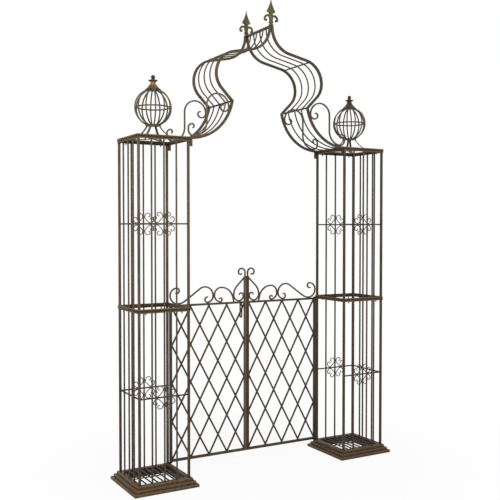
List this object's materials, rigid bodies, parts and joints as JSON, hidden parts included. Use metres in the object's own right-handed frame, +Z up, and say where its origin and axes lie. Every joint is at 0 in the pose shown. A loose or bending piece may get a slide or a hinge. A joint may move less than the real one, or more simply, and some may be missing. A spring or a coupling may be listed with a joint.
{
  "type": "trellis arch with gates",
  "caption": "Weathered iron garden arch: open cage towers with orb finials, an ogee arch with spear finials, and a pair of swinging lattice gates.",
  "frame": {"origin": "on the ground, midway between the two towers", "axes": "+Z up, +X to the right seen from the front, +Y to the back where the gates hang"},
  "size_m": [1.906, 0.418, 3.0435],
  "materials": {
    "dark_iron": "weathered dark bronze-brown iron, low sheen",
    "gate_iron": "weathered brown iron, low sheen",
    "rusted_band": "weathered iron with red-brown rust bloom",
    "scroll_iron": "greyish weathered iron",
    "orb_verdigris": "weathered iron with an olive tint",
    "finial_bronze": "weathered casting with an olive tint",
    "left_cap_rust": "orange rust",
    "right_cap_rust": "dark rust",
    "hinge_iron": "dark worn iron"
  },
  "bodies": {
    "frame": {"arch_brackets": "dark_iron", "arch_cross_bars": "dark_iron", "arch_lugs": "dark_iron", "arch_ogee_rails": "dark_iron", "arch_scrolls": "scroll_iron", "arch_slats": "dark_iron", "hinge_eyes": "hinge_iron", "left_cap_frame": "rusted_band", "left_crossbars": "dark_iron", "left_floor_grille": "dark_iron", "left_lower_bars": "dark_iron", "left_lower_frame": "rusted_band", "left_lower_posts": "dark_iron", "left_orb_cap": "left_cap_rust", "left_orb_cross": "orb_verdigris", "left_orb_disc": "orb_verdigris", "left_orb_hoop": "orb_verdigris", "left_orb_legs": "orb_verdigris", "left_orb_ribs": "orb_verdigris", "left_ornaments": "scroll_iron", "left_plinth": "rusted_band", "left_upper_bars": "dark_iron", "left_upper_frame": "rusted_band", "left_upper_posts": "dark_iron", "left_upper_sill": "rusted_band", "ridge_bar": "dark_iron", "right_cap_frame": "rusted_band", "right_crossbars": "dark_iron", "right_floor_grille": "dark_iron", "right_lower_bars": "dark_iron", "right_lower_frame": "rusted_band", "right_lower_posts": "dark_iron", "right_orb_cap": "right_cap_rust", "right_orb_cross": "orb_verdigris", "right_orb_disc": "orb_verdigris", "right_orb_hoop": "orb_verdigris", "right_orb_legs": "orb_verdigris", "right_orb_ribs": "orb_verdigris", "right_ornaments": "scroll_iron", "right_plinth": "rusted_band", "right_upper_bars": "dark_iron", "right_upper_frame": "rusted_band", "right_upper_posts": "dark_iron", "right_upper_sill": "rusted_band", "spear_finials": "finial_bronze"},
    "left_gate": {"latch_bracket": "hinge_iron", "left_gate_crest": "gate_iron", "left_gate_hinge_pins": "hinge_iron", "left_gate_hinge_stile": "gate_iron", "left_gate_lattice": "gate_iron", "left_gate_meeting_stile": "gate_iron", "left_gate_rails": "gate_iron"},
    "right_gate": {"right_gate_crest": "gate_iron", "right_gate_hinge_pins": "hinge_iron", "right_gate_hinge_stile": "gate_iron", "right_gate_lattice": "gate_iron", "right_gate_meeting_stile": "gate_iron", "right_gate_rails": "gate_iron"},
    "latch_loop": {"latch_loop": "hinge_iron"}
  },
  "joints": [
    {"name": "left_gate_hinge", "type": "hinge", "parent": "frame", "child": "left_gate", "pos_m": [-0.561, 0.16, 0.57], "axis": [0, 0, 1], "range_deg": [-90, 90]},
    {"name": "right_gate_hinge", "type": "hinge", "parent": "frame", "child": "right_gate", "pos_m": [0.561, 0.16, 0.57], "axis": [0, 0, 1], "range_deg": [-90, 90]},
    {"name": "latch_loop_swing", "type": "hinge", "parent": "left_gate", "child": "latch_loop", "pos_m": [-0.048, 0.1492, 1.0586], "axis": [0, 1, 0], "range_deg": [-90, 90]}
  ]
}
